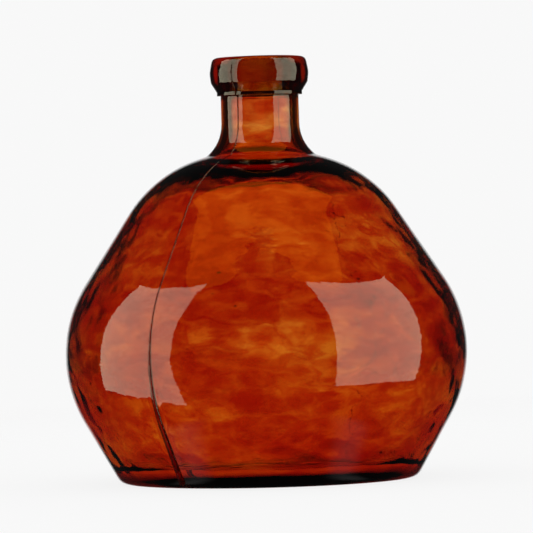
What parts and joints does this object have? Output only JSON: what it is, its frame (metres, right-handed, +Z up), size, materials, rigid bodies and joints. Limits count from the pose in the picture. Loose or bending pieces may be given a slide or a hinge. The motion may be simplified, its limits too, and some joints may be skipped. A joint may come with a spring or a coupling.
{
  "type": "glass bud vase",
  "caption": "Round-bellied bottle vase of amber blown glass with a sloping shoulder, short narrow neck, thick lip ring and mould seams.",
  "frame": {"origin": "centre of the base, on the surface that the vase stands on", "axes": "+Z up along the neck towards the mouth; the mould seams lie at 56 and 236 degrees from +X"},
  "size_m": [0.2184, 0.2184, 0.23],
  "materials": {
    "amber_glass": "clear mottled amber, polished"
  },
  "bodies": {
    "root": {"base": "amber_glass", "lower_belly": "amber_glass", "upper_belly": "amber_glass", "flank": "amber_glass", "shoulder": "amber_glass", "neck": "amber_glass", "lip_ring": "amber_glass", "mould_seams": "amber_glass"}
  },
  "joints": []
}
